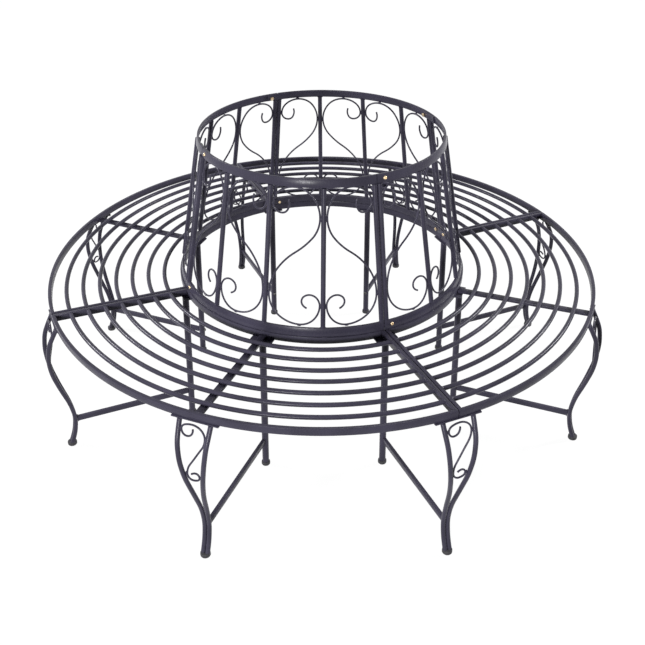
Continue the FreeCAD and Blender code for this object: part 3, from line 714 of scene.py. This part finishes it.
def uprightEnds(position):  # foot and head of upright 0 to 4 of a quarter that starts at plan angle 0
    middle = back["thickness"] / 2
    footHeight = back["foot"] + back["footDepth"]
    headHeight = back["top"] - back["topDepth"]
    footRadius, headRadius = backFace(footHeight) - middle, backFace(headHeight) - middle
    start = math.degrees(math.asin(back["seamFoot"] / footRadius))
    foot = atAngle(footRadius, 0, footHeight, start + position * (90 - 2 * start) / back["bays"])
    shift = {0: 1, back["bays"]: -1}.get(position, 0) * back["seamHead"]
    head = atAngle(math.sqrt(headRadius ** 2 - shift ** 2), shift, headHeight, bayAngle * position)
    return foot, head


def onUpright(position, height):
    foot, head = uprightEnds(position)
    return foot.lerp(head, height / (head.z - foot.z))


def bayFrame(bay, place):  # X points away from the tree and Z up along the backrest
    lean = Matrix.Rotation(-math.atan(backSlope), 4, "Y")
    return Matrix.Translation(place) @ turn(bayAngle * (bay + 0.5)) @ lean


def buildBackWelds():
    end = bead(*backWelds["endSize"])
    touch = bead(*backWelds["touchSize"])
    rail = bead(*backWelds["railTouch"])
    reach = back["uprightRadius"] + backWelds["touchGap"]
    rise = uprightEnds(0)[1].z - uprightEnds(0)[0].z
    one = bmesh.new()
    for position in range(back["bays"] + 1):
        for place in uprightEnds(position):
            for way in (-1, 1):
                shift = Matrix.Translation((0, way * backWelds["endAcross"], 0))
                addCopy(one, end, Matrix.Translation(place) @ turn(bayAngle * position) @ shift)
    for bay in range(back["bays"]):
        way = 1 if bay % 2 else -1
        leaning, curling = (bay, bay + 1) if way == 1 else (bay + 1, bay)
        spots = (
            (leaning, "bigLobe", 1), (leaning, "lowCurl", 1),
            (curling, "topCurl", -1), (curling, "lowLobe", -1),
        )
        for position, height, side in spots:
            shift = Matrix.Translation((0, side * way * reach, 0))
            addCopy(one, touch, bayFrame(bay, onUpright(position, backWelds[height])) @ shift)
        for height, share in ((0, backWelds["lowShare"]), (rise, backWelds["topShare"])):
            first, last = onUpright(bay, height), onUpright(bay + 1, height)
            room = 1 - 2 * (reach + backWelds["rodRadius"]) / (last - first).length
            addCopy(one, rail, bayFrame(bay, first.lerp(last, 0.5 + way * share * room / 2)))
    for quarter, angle in quarters.items():
        welds = bmesh.new()
        addCopy(welds, one, turn(angle))
        finishPiece("back_welds_" + quarter, welds, "powder_coat", smooth=modelling["weldSmoothAngle"])


buildBackWelds()
print("backrest welds built")


# Legs: plates, braces, feet, bolts and welds

leg = {
    "footHeight": 12, "frontFoot": 813, "postFoot": 442, "postTop": 427, "postRadius": 9.5,
    "plateThickness": 4, "plateEdge": 0.8,
    "frontPlate": (10.5, 124, 1.5), "postPlate": (30, 62, 5),  # width, length and shift outwards
    "frontSpread": 56, "postSpread": 22, "boltSpin": 1,
    "tubeRadius": 6.25, "tubeWaist": 790, "tubeTop": (796.1, 40.9),  # radius, and place across
    "brace": (10, 16, 82), "braceEdge": 1.2, "braceGap": 0.2,  # width, depth and height of the underside
    "braceWeld": (3, 1.5, 1.4), "braceWeldBack": 1.2,  # length, reach past the brace, and edge
    "footSides": 40, "postFootSmaller": 1,
}
legBolt = {"radius": 5.5, "height": 4.0, "socket": 2.0, "socketDepth": 2.0}
frontFootProfile = (  # radius and height
    (0, 0), (10.6, 0), (12.4, 0.7), (13.4, 2.4), (13.5, 4.6), (13.5, 7.4), (13.0, 7.9), (13.0, 8.5),
    (13.4, 9.0), (13.2, 10.6), (12.2, 11.7), (10.8, 12), (0, 12),
)


def postRadiusAt(height):
    top = seat["innerTop"] - seat["rimDepth"] - leg["plateThickness"]
    share = (height - leg["footHeight"]) / (top - leg["footHeight"])
    return leg["postFoot"] + share * (leg["postTop"] - leg["postFoot"])


def rimJoints():  # radius of the rim's middle and height of its underside
    half = seat["rimWidth"] / 2
    return {
        "front": (seat["radius"] - half, seat["top"] - seat["rimDepth"]),
        "post": (seat["innerRadius"] - half, seat["innerTop"] - seat["rimDepth"]),
    }


def buildPlates():
    bolts = bmesh.new()
    head = domeHead(legBolt)
    for kind, (middle, under) in rimJoints().items():
        width, length, shift = leg[kind + "Plate"]
        plate = block(width, length, leg["plateThickness"], leg["plateEdge"])
        plates = bmesh.new()
        for angle in legs.values():
            addCopy(plates, plate, standAt(middle + shift - width / 2, 0, under, angle))
            for way in (-1, 1):
                along = angle + way * math.degrees(math.asin(leg[kind + "Spread"] / middle))
                down = Matrix.Rotation(math.radians(180), 4, "X") @ randomSpin(leg["boltSpin"])
                addCopy(bolts, head, standAt(middle, 0, under - leg["plateThickness"], along) @ down)
        finishPiece("leg_%s_plate_bars" % kind, plates, "powder_coat", ["leg_%s_plates" % kind])
    finishPiece("leg_bolts", bolts, "bolt_steel", ["leg_plate_bolts"])


def buildBraces():
    width, depth, height = leg["brace"]
    middle = height + depth / 2
    start = postRadiusAt(middle) + leg["postRadius"] + leg["braceGap"]
    end = leg["tubeWaist"] - leg["tubeRadius"] - leg["braceGap"]
    bar = block(end - start, width, depth, leg["braceEdge"])
    length, reach, edge = leg["braceWeld"]
    rim = block(length, width + 2 * reach, depth + 2 * reach, edge)
    head = domeHead(legBolt)
    turned = Matrix.Rotation(math.radians(-90), 4, "Y")
    braces, bolts = bmesh.new(), bmesh.new()
    for angle in legs.values():
        addCopy(braces, bar, standAt(start, 0, height + depth, angle))
        addCopy(braces, rim, standAt(end - leg["braceWeldBack"], 0, height + depth + reach, angle))
        place = standAt(postRadiusAt(middle) - leg["postRadius"] - leg["braceGap"], 0, middle, angle)
        addCopy(bolts, head, place @ turned @ randomSpin(leg["boltSpin"]))
    finishPiece("leg_brace_bars", braces, "powder_coat", ["leg_braces"])
    finishPiece("brace_bolts", bolts, "bolt_steel", ["leg_brace_bolts"])


def buildFeet():
    smaller = [(max(0, radius - leg["postFootSmaller"]), height) for radius, height in frontFootProfile]
    kinds = (("front_feet", frontFootProfile, leg["frontFoot"]), ("post_feet", smaller, leg["postFoot"]))
    for name, profile, radius in kinds:
        foot = lathed(profile, leg["footSides"])
        feet = bmesh.new()
        for angle in legs.values():
            addCopy(feet, foot, standAt(radius, 0, 0, angle))
        finishPiece(name, feet, "foot_plastic", ["leg_" + name])


legWelds = {
    "tubeRing": 1.2, "tubeStretch": 1.12, "tubeDrop": 0.4, "postRing": 1.5, "postDrop": 0.5,
    "touchSize": (2.4, 2.2, 5.5), "touches": ((-33.6, 411), (33.4, 398), (-20.3, 290.5), (18.4, 286)),
    "scrollRadius": 829, "scrollHeight": 280, "scrollSlope": 0.14,  # the leaning plane of a leg's scroll
}


def buildLegWelds():
    tubeRing = collar(leg["tubeRadius"], legWelds["tubeRing"])
    tubeRing.transform(Matrix.Diagonal((legWelds["tubeStretch"], 1, 1, 1)))
    postRing = collar(leg["postRadius"], legWelds["postRing"])
    touch = bead(*legWelds["touchSize"])
    welds = bmesh.new()
    tubeHeight = rimJoints()["front"][1] - leg["plateThickness"] - legWelds["tubeDrop"]
    postHeight = rimJoints()["post"][1] - leg["plateThickness"] - legWelds["postDrop"]
    for angle in legs.values():
        radius, across = leg["tubeTop"]
        for way in (-1, 1):
            addCopy(welds, tubeRing, standAt(radius, way * across, tubeHeight, angle))
        addCopy(welds, postRing, standAt(leg["postTop"], 0, postHeight, angle))
        for across, height in legWelds["touches"]:
            rise = height - legWelds["scrollHeight"]
            radius = legWelds["scrollRadius"] - legWelds["scrollSlope"] * rise
            addCopy(welds, touch, standAt(radius, across, height, angle))
    finishPiece("leg_welds", welds, "powder_coat", smooth=modelling["weldSmoothAngle"])


buildPlates()
buildBraces()
buildFeet()
buildLegWelds()
print("legs built")
